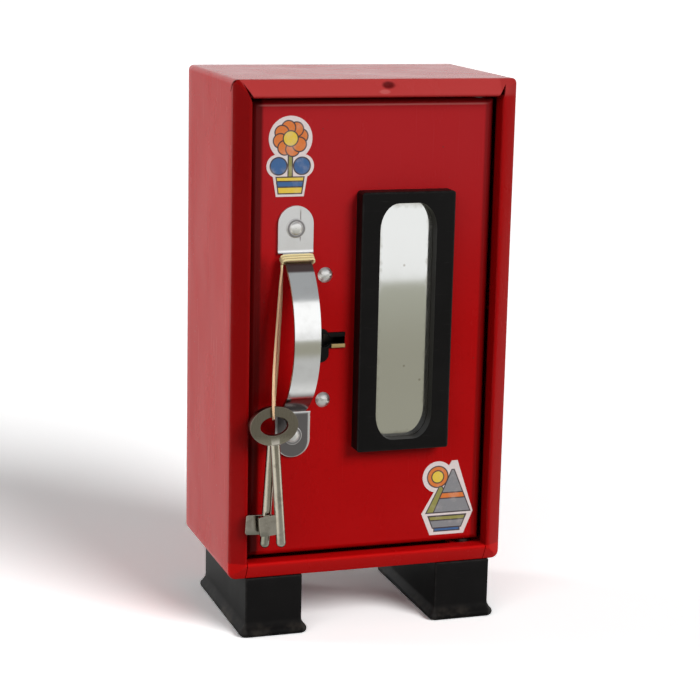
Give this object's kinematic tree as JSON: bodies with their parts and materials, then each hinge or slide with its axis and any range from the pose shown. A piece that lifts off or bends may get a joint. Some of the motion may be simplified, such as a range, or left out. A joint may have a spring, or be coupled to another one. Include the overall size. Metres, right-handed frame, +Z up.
{
  "type": "small lockable cabinet",
  "caption": "Small red sheet-steel cabinet on two runner feet, with a hinged door, bowed strap handle, lever lock, hanging keys and a tall narrow mirror window.",
  "frame": {"origin": "middle of the bounding box on the floor plane under the feet, without the cord and keys", "axes": "+X to the right seen from the front, +Y back into the cabinet, +Z up"},
  "size_m": [0.152, 0.116, 0.292],
  "materials": {
    "red_paint": "semi-gloss red enamel on sheet steel",
    "black_plastic": "satin black moulding",
    "black_enamel": "black enamel",
    "rubber": "matt rubber",
    "silvered_glass": "silvered glass",
    "bright_plate": "bright plating, slightly worn",
    "zinc_steel": "zinc plated",
    "dark_steel": "blackened steel",
    "brass": "dull brass",
    "key_steel": "worn dark steel",
    "cord": "waxed twine",
    "sticker": "printed vinyl"
  },
  "bodies": {
    "cabinet": {"left_side": "red_paint", "right_side": "red_paint", "top_panel": "red_paint", "bottom_panel": "red_paint", "back_panel": "red_paint", "back_rivets": "red_paint", "left_foot": "black_plastic", "right_foot": "black_plastic", "foot_screws": "zinc_steel", "upper_hinge_bracket": "red_paint", "lower_hinge_bracket": "red_paint", "hinge_pins": "zinc_steel", "bolt_keeper": "red_paint", "door_stops": "red_paint", "stop_buffers": "rubber"},
    "door": {"door_panel": "red_paint", "hinge_bushes": "brass", "window_surround": "black_plastic", "window_pane": "silvered_glass", "pane_retainer": "black_plastic", "retainer_screws": "zinc_steel", "door_handle": "bright_plate", "handle_rivets": "bright_plate", "lock_case": "dark_steel", "lock_cover": "dark_steel", "cover_screws": "zinc_steel", "lock_screws": "bright_plate", "keyhole_plate": "black_enamel", "keyhole_strip": "brass", "door_stickers": "sticker", "cord_winding": "cord"},
    "bolt": {"lock_bolt": "brass"},
    "lever": {"lock_lever": "brass", "lever_spring": "zinc_steel"},
    "hanging_cord": {"key_cord": "cord"},
    "key_in_front": {"front_key": "key_steel"},
    "key_behind": {"rear_key": "key_steel"}
  },
  "joints": [
    {"name": "door_hinge", "type": "hinge", "parent": "cabinet", "child": "door", "pos_m": [0.0581, -0.027, 0.162], "axis": [0, 0, 1], "range_deg": [0, 100]},
    {"name": "bolt_slide", "type": "slide", "parent": "door", "child": "bolt", "axis": [-1, 0, 0], "range_m": [0, 0.0065]},
    {"name": "lever_lift", "type": "hinge", "parent": "door", "child": "lever", "pos_m": [-0.0502, -0.023, 0.184], "axis": [0, -1, 0], "range_deg": [0, 3.5]},
    {"name": "cord_swing", "type": "hinge", "parent": "door", "child": "hanging_cord", "pos_m": [-0.0503, -0.038, 0.1955], "axis": [-1, 0, 0], "range_deg": [0, 70]},
    {"name": "front_key_swing", "type": "hinge", "parent": "hanging_cord", "child": "key_in_front", "pos_m": [-0.0567, -0.0488, 0.1212], "axis": [0, 1, 0], "range_deg": [-10, 12]},
    {"name": "rear_key_swing", "type": "hinge", "parent": "hanging_cord", "child": "key_behind", "pos_m": [-0.055, -0.0432, 0.1198], "axis": [0, 1, 0], "range_deg": [-10, 12]}
  ]
}
